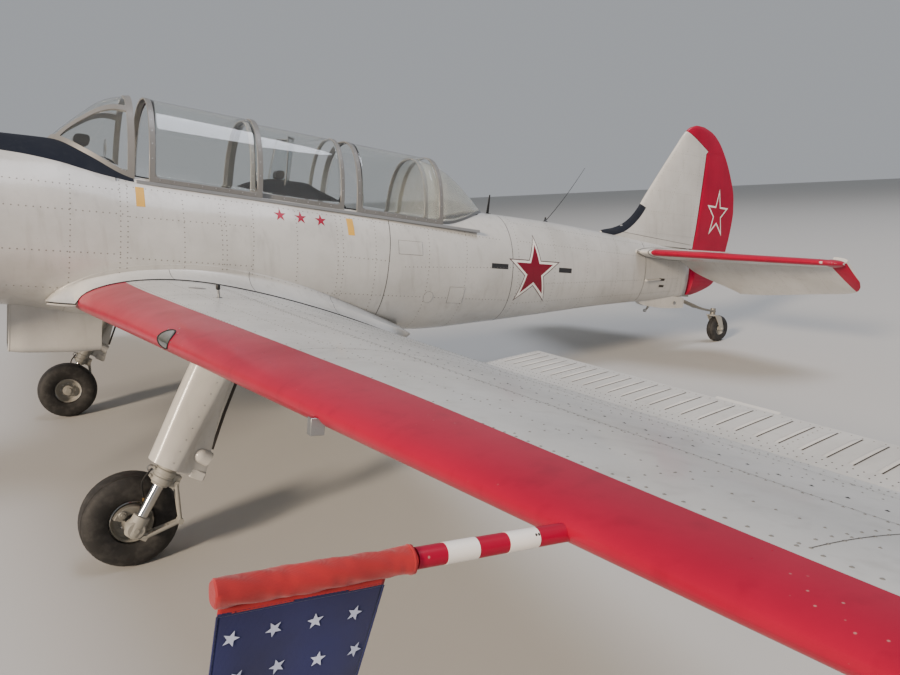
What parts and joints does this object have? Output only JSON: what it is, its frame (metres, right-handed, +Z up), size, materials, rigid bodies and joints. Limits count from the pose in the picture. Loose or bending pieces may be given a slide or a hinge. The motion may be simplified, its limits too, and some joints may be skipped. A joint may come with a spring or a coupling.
{
  "type": "aerobatic trainer aircraft",
  "caption": "Low-wing tandem-seat aerobatic trainer with a radial engine, standing on its tailwheel gear, with sliding canopies, moving controls and turning wheels",
  "frame": {"origin": "on the ground under the middle of the whole aircraft", "axes": "+X forward to the nose, +Y to port, +Z up; it stands tail down on its three wheels"},
  "size_m": [7.7024, 9.3, 2.7498],
  "materials": {
    "white_paint": "satin warm white paint on riveted aluminium",
    "red_paint": "gloss deep red paint",
    "frame_paint": "satin light grey paint",
    "glazing": "clear acrylic",
    "cast_alloy": "cast alloy, dull",
    "blade_finish": "black lacquer over laminated blades",
    "dark_trim": "matt black",
    "seat_cloth": "worn woven harness cloth",
    "cover_cloth": "coarse red cotton cover cloth",
    "polished_steel": "polished piston with painted cylinder",
    "steel": "bare and painted steel fittings",
    "tyre_rubber": "grooved black tyre rubber"
  },
  "bodies": {
    "airframe": {"air_data_boom": "red_paint", "belly_scoop": "white_paint", "boom_cover": "cover_cloth", "canopy_aft_frame": "frame_paint", "canopy_aft_glass": "glazing", "canopy_middle_frame": "frame_paint", "canopy_middle_glass": "glazing", "canopy_rail_port": "steel", "canopy_rail_starboard": "steel", "cockpit_floor": "dark_trim", "cowl_shutters": "frame_paint", "cowling": "white_paint", "engine_block": "cast_alloy", "fin": "white_paint", "fuselage_shell": "white_paint", "landing_light_port": "glazing", "landing_light_starboard": "glazing", "leg_fairing_port": "white_paint", "leg_fairing_starboard": "white_paint", "main_leg_port": "polished_steel", "main_leg_starboard": "polished_steel", "panel_front": "dark_trim", "panel_rear": "dark_trim", "seat_front": "seat_cloth", "seat_rear": "seat_cloth", "stabilizer_port": "white_paint", "stabilizer_starboard": "white_paint", "stick_front": "dark_trim", "stick_rear": "dark_trim", "tail_keel": "white_paint", "tail_spring": "steel", "torque_link_port": "steel", "torque_link_starboard": "steel", "windscreen_frame": "frame_paint", "windscreen_glass_front": "glazing", "windscreen_glass_port": "glazing", "windscreen_glass_starboard": "glazing", "wing_fillet_port": "white_paint", "wing_fillet_starboard": "white_paint", "wing_port": "white_paint", "wing_starboard": "white_paint"},
    "propeller": {"propeller": "blade_finish", "spinner": "red_paint"},
    "front_canopy": {"canopy_front_frame": "frame_paint", "canopy_front_glass": "glazing"},
    "rear_canopy": {"canopy_rear_frame": "frame_paint", "canopy_rear_glass": "glazing"},
    "port_aileron": {"aileron_port": "white_paint"},
    "starboard_aileron": {"aileron_starboard": "white_paint"},
    "port_flap": {"flap_port": "white_paint"},
    "starboard_flap": {"flap_starboard": "white_paint"},
    "rudder": {"rudder": "red_paint"},
    "elevator": {"elevator": "white_paint"},
    "port_wheel": {"main_tyre_port": "tyre_rubber", "main_rim_port": "cast_alloy"},
    "starboard_wheel": {"main_tyre_starboard": "tyre_rubber", "main_rim_starboard": "cast_alloy"},
    "tail_swivel": {"tail_fork": "steel"},
    "tail_wheel": {"tail_tyre": "tyre_rubber", "tail_rim": "cast_alloy"}
  },
  "joints": [
    {"name": "propeller_spin", "type": "hinge", "parent": "airframe", "child": "propeller", "pos_m": [3.52443, 0, 1.56073], "axis": [0.9901, 0, 0.1401], "continuous": true},
    {"name": "front_canopy_slide", "type": "slide", "parent": "airframe", "child": "front_canopy", "axis": [-0.9837, 0, -0.1796], "range_m": [-0.055, 0.47]},
    {"name": "rear_canopy_slide", "type": "slide", "parent": "airframe", "child": "rear_canopy", "axis": [-0.9837, 0, -0.1796], "range_m": [-0.06, 0.46]},
    {"name": "port_aileron_hinge", "type": "hinge", "parent": "airframe", "child": "port_aileron", "pos_m": [0.37939, 2.07, 0.72169], "axis": [0.092, 0.9952, 0.0343], "range_deg": [-43, 0]},
    {"name": "starboard_aileron_hinge", "type": "hinge", "parent": "airframe", "child": "starboard_aileron", "pos_m": [0.37939, -2.07, 0.72169], "axis": [0.092, -0.9952, 0.0343], "range_deg": [-43, 0]},
    {"name": "port_flap_hinge", "type": "hinge", "parent": "airframe", "child": "port_flap", "pos_m": [0.35542, 0.66, 0.64841], "axis": [-0.081, -0.9961, -0.0359], "range_deg": [0, 45]},
    {"name": "starboard_flap_hinge", "type": "hinge", "parent": "airframe", "child": "starboard_flap", "pos_m": [0.35542, -0.66, 0.64841], "axis": [0.081, -0.9961, 0.0359], "range_deg": [0, 45]},
    {"name": "rudder_hinge", "type": "hinge", "parent": "airframe", "child": "rudder", "pos_m": [-3.22828, 0, 0.48377], "axis": [-0.1888, 0, 0.982], "range_deg": [-27, 27]},
    {"name": "elevator_hinge", "type": "hinge", "parent": "airframe", "child": "elevator", "pos_m": [-3.09119, 0, 0.84959], "axis": [0, 1, 0], "range_deg": [0, 60]},
    {"name": "port_wheel_spin", "type": "hinge", "parent": "airframe", "child": "port_wheel", "pos_m": [1.71594, 1.385, 0.19531], "axis": [0, 1, 0], "continuous": true},
    {"name": "starboard_wheel_spin", "type": "hinge", "parent": "airframe", "child": "starboard_wheel", "pos_m": [1.71594, -1.385, 0.19531], "axis": [0, 1, 0], "continuous": true},
    {"name": "tail_wheel_swivel", "type": "hinge", "parent": "airframe", "child": "tail_swivel", "pos_m": [-3.59288, 0, 0.25542], "axis": [-0.1401, 0, 0.9901], "continuous": true},
    {"name": "tail_wheel_spin", "type": "hinge", "parent": "tail_swivel", "child": "tail_wheel", "pos_m": [-3.66093, 0, 0.12258], "axis": [0, 1, 0], "continuous": true}
  ],
  "couplings": [
    {"joint": "starboard_aileron_hinge", "follows": "port_aileron_hinge", "ratio": 1},
    {"joint": "starboard_flap_hinge", "follows": "port_flap_hinge", "ratio": 1}
  ]
}
